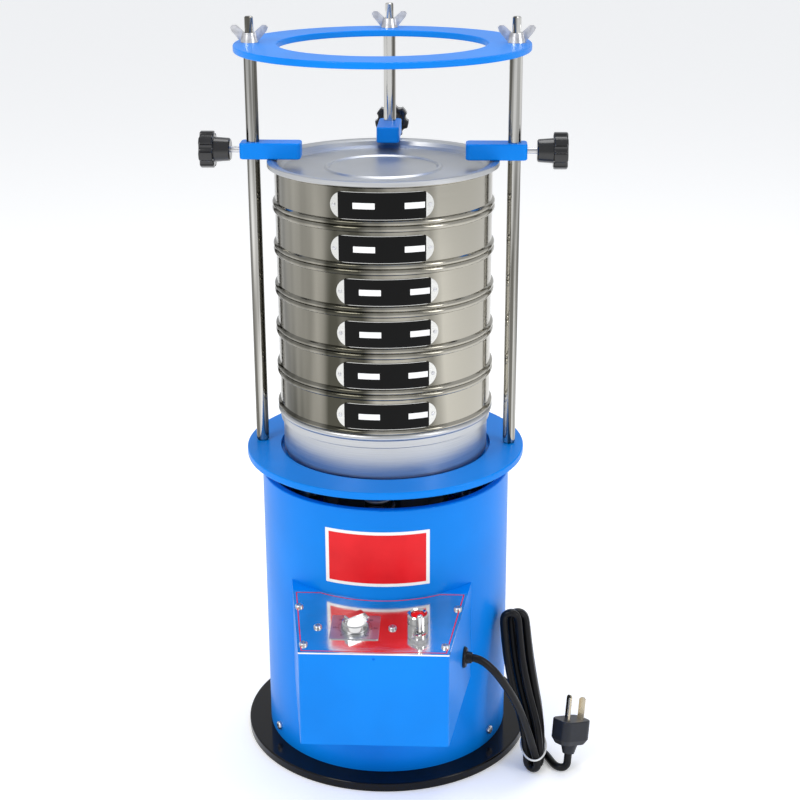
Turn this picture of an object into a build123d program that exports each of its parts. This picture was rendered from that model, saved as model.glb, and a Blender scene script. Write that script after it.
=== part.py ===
from build123d import *
import math
import os

# A bench sieve shaker: a vibrating table on three springs, driven by an
# unbalance motor hung inside a drum housing, with a clamped stack of six
# 200 mm test sieves. Millimetres. The origin is the middle of the base
# plate's underside, +Z is up, and the control box faces -Y.

# Housing: base plate, drum shell and the screws that join them
BASE_D = 284.0
BASE_T = 9.0
BASE_EDGE_R = 1.5
SHELL_D = 240.0
SHELL_WALL = 2.0
SHELL_TOP_Z = 283.0
SHELL_LIP_W = 6.0
SPIGOT_WALL = 4.0
SPIGOT_TOP_Z = 34.0
SPIGOT_CLEARANCE = 0.2
SCREW_Z = 22.0
SCREW_D = 5.0
SCREW_HEAD_D = 8.5
SCREW_HEAD_T = 3.0
SCREW_LENGTH = 7.0
SCREW_ANGLES = (210.0, 330.0, 90.0)

# Vibrating table, its pan recess and the rods that stand on it
TABLE_T = 7.0
TABLE_TOP_Z = 306.0
TABLE_EDGE_R = 1.2
RECESS_DEPTH = 6.0
RECESS_CLEARANCE = 3.5
FLOOR_T = 6.0
ROD_PITCH_R = 120.0
ROD_TO_TABLE_EDGE = 14.0
ROD_TO_FLOOR_EDGE = 10.0
ROD_D = 12.0
ROD_FOOT_D = 10.0
ROD_FOOT_CHAMFER = 1.5
ROD_HEAD_D = 8.0
ROD_HEAD_TOP_Z = 711.0
ROD_HOLE_CLEARANCE = 0.1
ROD_NUT_AF = 16.0
ROD_NUT_T = 5.0
ROD_FOOT_STICK_OUT = 1.5
ROD_ANGLES = {"left": 180.0, "right": 0.0, "rear": 90.0}
TOP_RING_HOLE_D = 190.0
TOP_RING_T = 6.0
TOP_RING_Z = 682.0

# Receiver pan, six sieves and the lid
SIEVE_BODY_D = 201.0
SIEVE_BEAD_D = 206.0
SIEVE_WALL = 1.2
SIEVE_COUNT = 6
SIEVE_PITCH = 38.8
SKIRT_DEPTH = 10.5
SKIRT_CLEARANCE = 0.6
SKIRT_WALL = 1.0
SEAT_GAP = 0.1
BEAD_H = 6.0
SEAT_BEAD_H = 5.2
MESH_T = 0.8
MESH_Z = 1.6
PAN_BODY_D = 196.4
PAN_H = 49.0
PAN_WALL = 1.2
PAN_CORNER_R = 6.0
PAN_STEP_H = 1.5
LID_RIM_D = 214.0
LID_RIM_RISE = 1.4
LID_LIP_H = 4.6
LID_FLOOR_D = 185.0
LID_FLOOR_DROP = 6.2
LID_SHEET = 1.0
LID_RIDGE_D = 104.0
LID_RIDGE_W = 6.0
LID_RIDGE_H = 1.4

# Nameplates on the sieve fronts
PLATE_H = 24.5
PLATE_W = 90.6
PLATE_T = 0.8
PLATE_GAP = 0.02
PLATE_MID_Z = 17.7
PLATE_TURNS = (2.3, 2.3, 5.0, 5.0, 4.0, 4.0)

# Clamp arms, their screws and knobs
ARM_REACH_IN = 44.5
ARM_REACH_OUT = 11.7
ARM_W = 22.0
ARM_H = 15.0
ARM_CORNER_R = 4.0
ARM_EDGE_R = 1.6
ARM_LIFT = 0.15
ARM_BORE_CLEARANCE = 0.06
STUD_D = 6.0
STUD_CLEARANCE = 0.05
STUD_ROD_GAP = 0.1
STUD_IN_KNOB = 11.0
KNOB_HUB_D = 21.0
KNOB_HUB_L = 14.6
KNOB_STAND_OFF = 9.0
KNOB_HEAD_D = 34.0
KNOB_HEAD_T = 13.3
KNOB_LOBES = 7
KNOB_FLUTE_R = 4.5
KNOB_FLUTE_DEPTH = 2.6
KNOB_EDGE_R = 1.6

# Wing nuts on the rod ends
WING_SPAN = 34.0
WING_RISE = 15.0
WING_T = 3.2
WING_HUB_D = 16.0
WING_HUB_TOP_D = 12.6
WING_HUB_H = 8.5
WING_NUT_GAP = 0.1
WING_BORE_CLEARANCE = 0.05

# Control box and its panel
BOX_REACH = 213.0
BOX_FRONT_W = 133.0
BOX_SPLAY = 0.146
BOX_BOTTOM_Z = 95.0
BOX_WALL = 1.5
BOX_CORNER_R = 3.0
BOX_FLANGE = 11.0
BOX_REAR_Y = -60.0
BOX_OPENING_REAR_Y = -130.0
BOX_DIMPLE_D = 2.6
BOX_DIMPLE_DROP = 3.5
PANEL_FRONT_Z = 187.0
PANEL_SLOPE = 4.5
PANEL_T = 1.5
PANEL_REAR_Y = -108.0
PANEL_SHELL_GAP = 0.6
PANEL_SCREW_D = 4.0
PANEL_SCREW_HEAD_D = 7.4
PANEL_SCREW_HEAD_T = 2.4
PANEL_SCREW_L = 8.0
PANEL_CORNER_SCREWS = ((-73.0, 77.0), (73.0, 77.0), (-63.0, 13.0), (63.0, 13.0))

# Timer, pilot lamp and toggle switch, in panel coordinates
TIMER_U = -19.0
TIMER_V = 42.0
TIMER_SCREW_SPACING = 67.5
TIMER_BODY_W = 42.0
TIMER_BODY_H = 34.0
TIMER_EAR_W = 76.0
TIMER_EAR_D = 16.0
TIMER_EAR_T = 2.0
TIMER_SHAFT_D = 6.0
TIMER_SHAFT_UP = 11.0
SCALE_PLATE_W = 44.0
SCALE_PLATE_H = 40.0
SCALE_PLATE_T = 0.8
TIMER_KNOB_D = 25.5
TIMER_KNOB_SKIRT = 6.5
TIMER_KNOB_H = 13.5
TIMER_KNOB_BAR_W = 6.5
TIMER_KNOB_GAP = 0.3
TIMER_KNOB_TURN = -38.0
LAMP_U = 37.4
LAMP_V = 43.0
LAMP_BEZEL_D = 19.5
LAMP_BEZEL_H = 16.0
LAMP_BODY_D = 11.8
LAMP_BODY_L = 26.0
LAMP_SEAM_H = 8.0
LAMP_LENS_D = 13.0
LAMP_LENS_SET_IN = 2.0
LAMP_NUT_AF = 14.0
LAMP_NUT_T = 4.0
SWITCH_U = 39.8
SWITCH_V = 24.5
SWITCH_BODY_W = 13.0
SWITCH_BODY_L = 18.6
SWITCH_BODY_H = 17.0
SWITCH_BUSH_D = 11.9
SWITCH_BUSH_H = 7.0
SWITCH_NUT_AF = 14.0
SWITCH_NUT_T = 3.2
LEVER_BALL_D = 7.0
LEVER_ROOT_D = 3.4
LEVER_TIP_D = 5.4
LEVER_L = 21.5
LEVER_TILT = 12.0
LEVER_SOCKET_GAP = 0.3

# Grommet and mains cord
GROMMET_Y = -129.0
GROMMET_Z = 139.8
GROMMET_D = 20.0
GROMMET_T = 3.0
GROMMET_NECK_D = 13.0
GROMMET_NOSE_D = 12.0
GROMMET_NOSE_L = 5.0
CORD_D = 7.5
CORD_EXIT_L = 7.0
CORD_GRIP_GAP = 0.02
CORD_LEAD_POINTS = (
    (107.5, -132.0, 128.0),
    (120.5, -127.5, 106.5),
    (131.0, -120.0, 84.5),
    (139.0, -110.0, 61.5),
    (145.0, -98.5, 40.0),
    (149.5, -86.0, 21.0),
)
CORD_TAIL_POINTS = (
    (147.0, -85.5, 6.0),
    (156.5, -92.0, 4.0),
    (166.5, -98.5, 3.9),
    (176.5, -101.0, 4.6),
)
# Height, middle and half widths of the hank at eight levels
HANK_LEVELS = (
    (0.0, 151.5, -90.0, 9.0, 7.0),
    (10.0, 151.3, -87.5, 11.0, 9.0),
    (30.0, 151.0, -81.5, 11.0, 9.0),
    (55.0, 144.5, -74.0, 11.5, 9.5),
    (85.0, 136.5, -65.0, 13.5, 10.0),
    (115.0, 131.2, -56.0, 14.5, 10.0),
    (140.0, 128.3, -48.5, 14.0, 9.5),
    (156.0, 127.5, -44.0, 8.0, 6.0),
)
TIE_Z = 14.0
TIE_H = 3.0
TIE_MIDDLE = (151.2, -86.0)
TIE_HALF_X = 13.2
TIE_HALF_Y = 11.4

# Plug: its face is the side that the pins stand on
PLUG_FACE = (184.5, -84.0, 50.0)
PLUG_LEAN = 5.0
PLUG_TILT = 15.0
PLUG_TURN = 35.0
PLUG_W = 33.0
PLUG_D = 25.0
PLUG_H = 24.0
PLUG_CORNER_R = 7.0
PLUG_TAPER = 2.5
PLUG_EDGE_R = 1.2
PLUG_RELIEF_L = 10.0
PLUG_RELIEF_D = 17.0
PLUG_RELIEF_END_D = 11.5
PLUG_EXIT_L = 7.0
PIN_L = 22.0
PIN_W = 6.4
PIN_T = 1.6
PIN_TILT = 30.0
PIN_SPREAD = 7.9
PIN_DROP = 4.0
EARTH_RISE = 6.3

# Springs and the posts that carry them
SPRING_PITCH_R = 96.0
SPRING_ANGLES = (30.0, 150.0, 270.0)
SPRING_OD = 28.0
SPRING_WIRE = 4.0
SPRING_TURNS = 5.5
SPRING_SEAT_GAP = 0.3
SPRING_SPIGOT_D = 18.0
SPRING_SPIGOT_H = 7.0
POST_TOP_Z = 232.0
POST_D = 20.0
POST_FOOT_D = 32.0
POST_FOOT_T = 5.0
POST_SEAT_D = 34.0
POST_SEAT_T = 4.0

# Unbalance motor, hung under the table
MOTOR_D = 124.0
MOTOR_BORE_D = 34.0
MOTOR_FLANGE_D = 156.0
MOTOR_FLANGE_T = 6.0
MOTOR_SKIRT_WALL = 4.0
MOTOR_SKIRT_H = 52.0
MOTOR_WINDOWS = 6
MOTOR_WINDOW_W = 34.0
MOTOR_WINDOW_H = 30.0
MOTOR_BODY_L = 88.0
MOTOR_RIBS = 24
MOTOR_RIB_W = 3.0
MOTOR_RIB_H = 4.0
SHIELD_T = 12.0
SHIELD_HOLE_D = 20.0
BEARING_OD = 32.0
BEARING_W = 9.0
SHAFT_D = 12.0
SHAFT_CLEARANCE = 0.05
SHAFT_UP = 42.0
SHAFT_DOWN = 42.0
WEIGHT_R = 50.0
WEIGHT_T = 22.0
WEIGHT_HUB_D = 30.0
WEIGHT_GAP = 7.0
WEIGHT_SCREW_D = 5.0
MOTOR_BOLT_D = 6.0
MOTOR_BOLT_PITCH_R = 71.0
MOTOR_BOLT_COUNT = 6
MOTOR_BOLT_HEAD_D = 10.0
MOTOR_BOLT_HEAD_T = 4.0
MOTOR_BOLT_IN_TABLE = 4.5

# Levels and radii that follow from the sizes above
SHELL_R = SHELL_D / 2
TABLE_BOTTOM_Z = TABLE_TOP_Z - TABLE_T
RECESS_Z = TABLE_TOP_Z - RECESS_DEPTH
FLOOR_BOTTOM_Z = RECESS_Z - FLOOR_T
RECESS_R = PAN_BODY_D / 2 + RECESS_CLEARANCE
PAN_TOP_Z = RECESS_Z + PAN_H
STACK_TOP_Z = PAN_TOP_Z + SIEVE_COUNT * SIEVE_PITCH
BODY_R = SIEVE_BODY_D / 2
BEAD_R = SIEVE_BEAD_D / 2
BORE_R = BODY_R - SIEVE_WALL
SKIRT_R = BORE_R - SKIRT_CLEARANCE
LID_TOP_Z = STACK_TOP_Z + LID_RIM_RISE
TABLE_D = 2 * (ROD_PITCH_R + ROD_TO_TABLE_EDGE)
FLOOR_D = 2 * (ROD_PITCH_R - ROD_TO_FLOOR_EDGE)
ARM_TIP_R = ROD_PITCH_R - ARM_REACH_IN
ARM_END_R = ROD_PITCH_R + ARM_REACH_OUT
KNOB_HUB_R = ARM_END_R + KNOB_STAND_OFF
ARM_Z = LID_TOP_Z + ARM_LIFT
TOP_RING_TOP_Z = TOP_RING_Z + TOP_RING_T
SLOPE = math.tan(math.radians(PANEL_SLOPE))
MOTOR_TOP_Z = FLOOR_BOTTOM_Z
MOTOR_BODY_TOP_Z = MOTOR_TOP_Z - MOTOR_FLANGE_T - MOTOR_SKIRT_H
MOTOR_BODY_BOTTOM_Z = MOTOR_BODY_TOP_Z - MOTOR_BODY_L

os.makedirs("parts", exist_ok=True)


def save(node, *solids):
    """Write one node, which may hold several separate solids."""
    found = []
    for item in solids:
        found.extend(item.solids())
    shape = found[0] if len(found) == 1 else Compound(children=found)
    shape.label = node
    export_step(shape, f"parts/{node}.step")


def rod(radius, z_low, z_high, x=0.0, y=0.0):
    """A round bar along Z between two levels."""
    bar = Cylinder(radius, z_high - z_low, align=(Align.CENTER, Align.CENTER, Align.MIN))
    return Pos(x, y, z_low) * bar


def ring(outer_r, inner_r, z_low, z_high):
    return rod(outer_r, z_low, z_high) - rod(inner_r, z_low - 1, z_high + 1)


def turned(outline):
    """Turn a closed outline, drawn in X and Z, about the Z axis."""
    return revolve(make_face(outline), Axis.Z, 360)


def profile(points):
    return Polyline(*[(r, 0, z) for r, z in points], close=True)


def around(shape, angles):
    return [Rot(0, 0, angle) * shape for angle in angles]


def hexagon(across_flats, height, z_low):
    sketch = RegularPolygon(across_flats / 2, 6, major_radius=False)
    return Pos(0, 0, z_low) * extrude(sketch, height)


# Base plate with the spigot that the shell is screwed to
def base_plate():
    plate = rod(BASE_D / 2, 0, BASE_T)
    plate = fillet(plate.edges().filter_by(GeomType.CIRCLE), BASE_EDGE_R)
    spigot_r = SHELL_R - SHELL_WALL - SPIGOT_CLEARANCE
    plate += ring(spigot_r, spigot_r - SPIGOT_WALL, BASE_T - 1, SPIGOT_TOP_Z)
    hole = Pos(0, 0, SCREW_Z) * Rot(0, 90, 0) * rod(SCREW_D / 2, spigot_r - 8, spigot_r + 1)
    for cut in around(hole, SCREW_ANGLES):
        plate -= cut
    return plate


# Rolled drum with an inward lip that stiffens its open top
def housing_shell():
    inner = SHELL_R - SHELL_WALL
    lip = SHELL_R - SHELL_LIP_W
    drum = turned(profile((
        (SHELL_R, BASE_T), (SHELL_R, SHELL_TOP_Z), (lip, SHELL_TOP_Z),
        (lip, SHELL_TOP_Z - SHELL_WALL), (inner, SHELL_TOP_Z - SHELL_WALL), (inner, BASE_T),
    )))
    drum = fillet(drum.edges().filter_by(GeomType.CIRCLE).sort_by(Axis.Z)[-2:].sort_by(
        SortBy.RADIUS)[-1:], SHELL_WALL * 0.6)
    hole = Pos(0, 0, SCREW_Z) * Rot(0, 90, 0) * rod(SCREW_D / 2 + 0.1, inner - 2, SHELL_R + 2)
    for cut in around(hole, SCREW_ANGLES):
        drum -= cut
    wire_z = (BOX_BOTTOM_Z + PANEL_FRONT_Z) / 2
    drum -= Pos(0, 0, wire_z) * Rot(90, 0, 0) * rod(7, inner - 2, SHELL_R + 2)
    return drum


def housing_screw():
    head = rod(SCREW_HEAD_D / 2, SHELL_R, SHELL_R + SCREW_HEAD_T)
    head = fillet(head.edges().sort_by(Axis.Z)[-1:], SCREW_HEAD_T * 0.55)
    head += rod(SCREW_D / 2, SHELL_R - SCREW_LENGTH, SHELL_R + 0.5)
    slot = Pos(0, 0, SHELL_R + SCREW_HEAD_T) * Box(SCREW_HEAD_D * 0.6, 1.2, 2.4)
    head -= slot
    head -= Rot(0, 0, 90) * slot
    return Pos(0, 0, SCREW_Z) * Rot(0, 90, 0) * head


# Posts that stand on the base plate and carry the springs
def spring_post():
    post = rod(POST_FOOT_D / 2, BASE_T, BASE_T + POST_FOOT_T)
    post += rod(POST_D / 2, BASE_T, POST_TOP_Z)
    post += rod(POST_SEAT_D / 2, POST_TOP_Z - POST_SEAT_T, POST_TOP_Z)
    post += rod(SPRING_SPIGOT_D / 2, POST_TOP_Z, POST_TOP_Z + SPRING_SPIGOT_H)
    return Pos(SPRING_PITCH_R, 0, 0) * post


def support_spring():
    low = POST_TOP_Z + SPRING_SEAT_GAP + SPRING_WIRE / 2
    high = FLOOR_BOTTOM_Z - SPRING_SEAT_GAP - SPRING_WIRE / 2
    coil_r = (SPRING_OD - SPRING_WIRE) / 2
    height = high - low
    path = Helix(pitch=height / SPRING_TURNS, height=height, radius=coil_r)
    start = path.location_at(0)
    wire = sweep(Plane(origin=path @ 0, z_dir=path % 0) * Circle(SPRING_WIRE / 2), path, is_frenet=True)
    return Pos(SPRING_PITCH_R, 0, low) * wire


# Table: a ring plate with a shallow pan recess and spring spigots below
def shaker_table():
    r = TABLE_D / 2
    table = turned(profile((
        (0, RECESS_Z), (RECESS_R, RECESS_Z), (RECESS_R, TABLE_TOP_Z), (r, TABLE_TOP_Z),
        (r, TABLE_BOTTOM_Z), (FLOOR_D / 2, TABLE_BOTTOM_Z), (FLOOR_D / 2, FLOOR_BOTTOM_Z),
        (0, FLOOR_BOTTOM_Z),
    )))
    rims = [e for e in table.edges().filter_by(GeomType.CIRCLE) if abs(e.radius - r) < 0.01]
    table = fillet(rims, TABLE_EDGE_R)
    spigot = rod(SPRING_SPIGOT_D / 2, FLOOR_BOTTOM_Z - SPRING_SPIGOT_H, FLOOR_BOTTOM_Z, SPRING_PITCH_R)
    for item in around(spigot, SPRING_ANGLES):
        table += item
    hole_r = ROD_FOOT_D / 2 + ROD_HOLE_CLEARANCE
    hole = rod(hole_r, TABLE_BOTTOM_Z - 1, TABLE_TOP_Z + 1, ROD_PITCH_R)
    for cut in around(hole, ROD_ANGLES.values()):
        table -= cut
    bolt_hole = rod(MOTOR_BOLT_D / 2, FLOOR_BOTTOM_Z - 1, FLOOR_BOTTOM_Z + MOTOR_BOLT_IN_TABLE,
                    MOTOR_BOLT_PITCH_R)
    for cut in around(bolt_hole, bolt_angles()):
        table -= cut
    return table


# Ground rods with a stepped foot and a threaded head
def guide_rod():
    foot_z = TABLE_BOTTOM_Z - ROD_NUT_T - ROD_FOOT_STICK_OUT
    r = ROD_D / 2
    return Pos(ROD_PITCH_R, 0, 0) * turned(profile((
        (0, foot_z), (ROD_FOOT_D / 2, foot_z), (ROD_FOOT_D / 2, TABLE_TOP_Z),
        (r - ROD_FOOT_CHAMFER / 2, TABLE_TOP_Z), (r, TABLE_TOP_Z + ROD_FOOT_CHAMFER),
        (r, TOP_RING_Z), (ROD_HEAD_D / 2, TOP_RING_Z), (ROD_HEAD_D / 2, ROD_HEAD_TOP_Z - 1),
        (ROD_HEAD_D / 2 - 1, ROD_HEAD_TOP_Z), (0, ROD_HEAD_TOP_Z),
    )))


def rod_nut():
    nut = hexagon(ROD_NUT_AF, ROD_NUT_T, TABLE_BOTTOM_Z - ROD_NUT_T)
    nut -= rod(ROD_FOOT_D / 2, TABLE_BOTTOM_Z - ROD_NUT_T - 1, TABLE_BOTTOM_Z + 1)
    return Pos(ROD_PITCH_R, 0, 0) * nut


def top_ring():
    r = TABLE_D / 2
    plate = ring(r, TOP_RING_HOLE_D / 2, TOP_RING_Z, TOP_RING_TOP_Z)
    plate = fillet(plate.edges().filter_by(GeomType.CIRCLE), TABLE_EDGE_R)
    hole_r = ROD_HEAD_D / 2 + ROD_HOLE_CLEARANCE
    for cut in around(rod(hole_r, TOP_RING_Z - 1, TOP_RING_TOP_Z + 1, ROD_PITCH_R), ROD_ANGLES.values()):
        plate -= cut
    return plate


# The rolled bead round the mouth of a sieve or the pan, from the wall up
def bead_line(wall_r, mouth_z):
    low = (wall_r, 0, mouth_z - BEAD_H)
    middle = (BEAD_R, 0, mouth_z - BEAD_H * 0.45)
    high = (wall_r + 0.8, 0, mouth_z)
    return ThreePointArc(low, middle, high)


def receiver_pan():
    r = PAN_BODY_D / 2
    inner = r - PAN_WALL
    top = PAN_TOP_Z
    corner = PAN_CORNER_R
    low = RECESS_Z
    bend = corner * (1 - math.sqrt(0.5))
    inner_corner = corner - PAN_WALL
    inner_bend = inner_corner * (1 - math.sqrt(0.5))
    floor_z = low + PAN_WALL
    socket_z = top - SKIRT_DEPTH - SKIRT_CLEARANCE
    outline = (
        Line((0, 0, low), (r - corner, 0, low))
        + ThreePointArc((r - corner, 0, low), (r - bend, 0, low + bend), (r, 0, low + corner))
        + Polyline((r, 0, low + corner), (r, 0, socket_z - PAN_WALL - PAN_STEP_H), (BODY_R, 0, socket_z - PAN_WALL),
                   (BODY_R, 0, top - BEAD_H))
        + bead_line(BODY_R, top)
        + Polyline((BODY_R + 0.8, 0, top), (BORE_R, 0, top), (BORE_R, 0, socket_z),
                   (inner, 0, socket_z - PAN_STEP_H), (inner, 0, floor_z + inner_corner))
        + ThreePointArc((inner, 0, floor_z + inner_corner), (inner - inner_bend, 0, floor_z + inner_bend),
                        (inner - inner_corner, 0, floor_z))
        + Polyline((inner - inner_corner, 0, floor_z), (0, 0, floor_z), (0, 0, low))
    )
    return turned(outline)


# Spun sieve frame: skirt, flared seat bead, wall and rolled mouth bead
def sieve_frame(seat_z):
    top = seat_z + SIEVE_PITCH
    seat = seat_z + SEAT_GAP
    inner_skirt = SKIRT_R - SKIRT_WALL
    skirt_z = seat_z - SKIRT_DEPTH
    ledge_z = seat_z + MESH_Z
    outline = (
        Polyline((inner_skirt, 0, skirt_z), (SKIRT_R, 0, skirt_z), (SKIRT_R, 0, seat), (BODY_R + 1.2, 0, seat))
        + ThreePointArc((BODY_R + 1.2, 0, seat), (BEAD_R, 0, seat + 2.2), (BODY_R + 1.5, 0, seat + 4.2))
        + Polyline((BODY_R + 1.5, 0, seat + 4.2), (BODY_R, 0, seat + SEAT_BEAD_H), (BODY_R, 0, top - BEAD_H))
        + bead_line(BODY_R, top)
        + Polyline((BODY_R + 0.8, 0, top), (BORE_R, 0, top), (BORE_R, 0, ledge_z),
                   (inner_skirt, 0, ledge_z), (inner_skirt, 0, skirt_z))
    )
    return turned(outline)


def sieve_mesh(seat_z):
    low = seat_z + MESH_Z
    return rod(BORE_R, low, low + MESH_T)


def nameplate(seat_z, turn):
    middle = seat_z + PLATE_MID_Z
    sketch = SlotOverall(PLATE_W, PLATE_H)
    band = Pos(0, 0, middle) * Rot(90, 0, 0) * extrude(sketch, BODY_R * 1.2)
    skin = ring(BODY_R + PLATE_T, BODY_R + PLATE_GAP, middle - PLATE_H, middle + PLATE_H)
    return Rot(0, 0, turn) * (skin & band)


# Spun lid: a flared rim over a recessed floor with one raised ridge
def sieve_lid():
    rim = LID_RIM_D / 2
    top = LID_TOP_Z
    floor_r = LID_FLOOR_D / 2
    floor_z = STACK_TOP_Z - LID_FLOOR_DROP
    ridge = LID_RIDGE_D / 2
    half = LID_RIDGE_W / 2
    upper = [
        (0, floor_z), (ridge - half, floor_z), (ridge - 1, floor_z + LID_RIDGE_H),
        (ridge + 1, floor_z + LID_RIDGE_H), (ridge + half, floor_z), (floor_r, floor_z),
        (floor_r + 3, floor_z + 2.4), (BORE_R - 1.6, top - 1.6), (BORE_R + 1.5, top - 0.5),
        (BEAD_R, top),
        (rim - 0.6, top), (rim, top - 0.6), (rim, top - LID_LIP_H),
    ]
    lower = [
        (rim - LID_SHEET, top - LID_LIP_H), (rim - LID_SHEET, top - LID_SHEET),
        (BEAD_R - 0.8, top - LID_SHEET), (BORE_R + 1.2, STACK_TOP_Z + 0.05), (BORE_R - 0.4, STACK_TOP_Z + 0.05),
        (BORE_R - 1.6, top - 3.0), (floor_r + 3.4, floor_z + 1.2), (floor_r, floor_z - LID_SHEET),
        (ridge + half, floor_z - LID_SHEET), (ridge + 1, floor_z + LID_RIDGE_H - LID_SHEET),
        (ridge - 1, floor_z + LID_RIDGE_H - LID_SHEET), (ridge - half, floor_z - LID_SHEET),
        (0, floor_z - LID_SHEET),
    ]
    return turned(profile(upper + lower))


# Clamp arm: a rounded bar with the rod bore and the tapped screw hole
def clamp_arm():
    length = ARM_END_R - ARM_TIP_R
    bar = Pos((ARM_END_R + ARM_TIP_R) / 2, 0, ARM_Z + ARM_H / 2) * Box(length, ARM_W, ARM_H)
    bar = fillet(bar.edges().filter_by(Axis.Z), ARM_CORNER_R)
    bar = fillet(bar.edges().group_by(Axis.Z)[0] + bar.edges().group_by(Axis.Z)[-1], ARM_EDGE_R)
    bar -= rod(ROD_D / 2 + ARM_BORE_CLEARANCE, ARM_Z - 1, ARM_Z + ARM_H + 1, ROD_PITCH_R)
    tapped = rod(STUD_D / 2 + STUD_CLEARANCE, ROD_PITCH_R, ARM_END_R + 1)
    bar -= Pos(0, 0, ARM_Z + ARM_H / 2) * Rot(0, 90, 0) * tapped
    return bar


def clamp_screw():
    low = ROD_PITCH_R + ROD_D / 2 + STUD_ROD_GAP
    stud = rod(STUD_D / 2, low, KNOB_HUB_R + STUD_IN_KNOB)
    return Pos(0, 0, ARM_Z + ARM_H / 2) * Rot(0, 90, 0) * stud


# Moulded knob: a stepped hub and a fluted head with a domed face
def clamp_knob():
    low = KNOB_HUB_R
    head_z = low + KNOB_HUB_L
    hub = turned(profile((
        (0, low), (KNOB_HUB_D / 2 - 1.2, low), (KNOB_HUB_D / 2, low + 1.2), (KNOB_HUB_D / 2 + 1, head_z),
        (0, head_z),
    )))
    head = rod(KNOB_HEAD_D / 2, head_z, head_z + KNOB_HEAD_T)
    flute_r = KNOB_HEAD_D / 2 - KNOB_FLUTE_DEPTH + KNOB_FLUTE_R
    flute = rod(KNOB_FLUTE_R, head_z - 1, head_z + KNOB_HEAD_T + 1, flute_r)
    for cut in around(flute, [i * 360 / KNOB_LOBES for i in range(KNOB_LOBES)]):
        head -= cut
    head = fillet(head.edges().group_by(Axis.Z)[0] + head.edges().group_by(Axis.Z)[-1], KNOB_EDGE_R)
    knob = hub + head
    knob -= rod(STUD_D / 2 + STUD_CLEARANCE, low - 1, low + STUD_IN_KNOB + 0.3)
    return Pos(0, 0, ARM_Z + ARM_H / 2) * Rot(0, 90, 0) * knob


# Wing nut with two flat wings splayed in a V
def wing_nut():
    low = TOP_RING_TOP_Z + WING_NUT_GAP
    hub = turned(profile((
        (0, low), (WING_HUB_D / 2, low), (WING_HUB_TOP_D / 2, low + WING_HUB_H), (0, low + WING_HUB_H),
    )))
    tip = WING_SPAN / 2
    top = low + WING_RISE
    blade = Polyline(
        (WING_HUB_TOP_D / 2 - 2, 0, low + 0.6), (WING_HUB_D / 2, 0, low + 0.6), (tip - 1.5, 0, top - 5.5),
        (tip, 0, top - 2), (tip - 1.8, 0, top), (tip - 5.5, 0, top), (WING_HUB_TOP_D / 2 - 2, 0, low + WING_HUB_H),
        close=True)
    wing = Pos(0, WING_T / 2, 0) * extrude(make_face(blade), WING_T, dir=(0, -1, 0))
    nut = hub + wing + Rot(0, 0, 180) * wing
    nut -= rod(ROD_HEAD_D / 2 + WING_BORE_CLEARANCE, low - 1, top)
    return nut


# Control box: plan outline with splayed sides, cut off by the sloping top
def box_half_width(y):
    return BOX_FRONT_W / 2 + BOX_SPLAY * (BOX_REACH + y)


def box_plan(inset, rear_y):
    front_y = -BOX_REACH + inset
    front_x = box_half_width(front_y) - inset
    rear_x = box_half_width(rear_y) - inset
    plan = make_face(Polyline((-front_x, front_y), (front_x, front_y), (rear_x, rear_y), (-rear_x, rear_y),
                              close=True))
    corners = plan.vertices().group_by(Axis.Y)[0]
    return fillet(corners, max(BOX_CORNER_R - inset, 1.0))


def box_block(inset, z_low, drop, rear_y):
    """A prism on the plan outline, its top parallel to the panel."""
    front_z = PANEL_FRONT_Z - PANEL_T / math.cos(math.radians(PANEL_SLOPE)) - drop
    top = [(y, front_z + SLOPE * (BOX_REACH + y)) for y in (-BOX_REACH - 5, rear_y + 5)]
    side = Polyline((0, top[0][0], z_low), (0, top[0][0], top[0][1]), (0, top[1][0], top[1][1]),
                    (0, top[1][0], z_low), close=True)
    half = 2 * box_half_width(rear_y)
    wedge = Pos(-half, 0, 0) * extrude(make_face(side), 2 * half, dir=(1, 0, 0))
    return wedge & Pos(0, 0, z_low - 1) * extrude(box_plan(inset, rear_y), 2 * PANEL_FRONT_Z)


def wall_direction():
    long = math.hypot(1, BOX_SPLAY)
    return (1 / long, -BOX_SPLAY / long, 0)


def control_box():
    box = box_block(0, BOX_BOTTOM_Z, 0, BOX_REAR_Y)
    box -= box_block(BOX_WALL, BOX_BOTTOM_Z + BOX_WALL, BOX_WALL, BOX_REAR_Y + 2 * BOX_WALL)
    middle_z = (BOX_BOTTOM_Z + PANEL_FRONT_Z) / 2
    opening = Pos(0, 0, middle_z) * extrude(box_plan(BOX_FLANGE, BOX_OPENING_REAR_Y), PANEL_FRONT_Z)
    box -= opening
    box -= rod(SHELL_R, BOX_BOTTOM_Z - 1, 2 * PANEL_FRONT_Z)
    for u, v in PANEL_CORNER_SCREWS:
        box -= panel_place(u, v) * rod(PANEL_SCREW_D / 2, -PANEL_SCREW_L - 1, 1)
    x = box_half_width(GROMMET_Y)
    hole = Plane(origin=(x, GROMMET_Y, GROMMET_Z), z_dir=wall_direction())
    box -= hole.location * rod(GROMMET_NECK_D / 2, -6, 6)
    dimple_z = PANEL_FRONT_Z - BOX_DIMPLE_DROP - PANEL_T
    box -= Pos(0, -BOX_REACH, dimple_z) * Rot(90, 0, 0) * rod(BOX_DIMPLE_D / 2, -BOX_WALL / 2, 1)
    return box


# Panel coordinates: u to the right, v up the slope from the front edge
def panel_plane():
    slope = math.radians(PANEL_SLOPE)
    return Plane(origin=(0, -BOX_REACH, PANEL_FRONT_Z), x_dir=(1, 0, 0), z_dir=(0, -math.sin(slope), math.cos(slope)))


def panel_place(u, v, lift=0.0):
    return panel_plane().location * Pos(u, v, lift)


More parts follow.
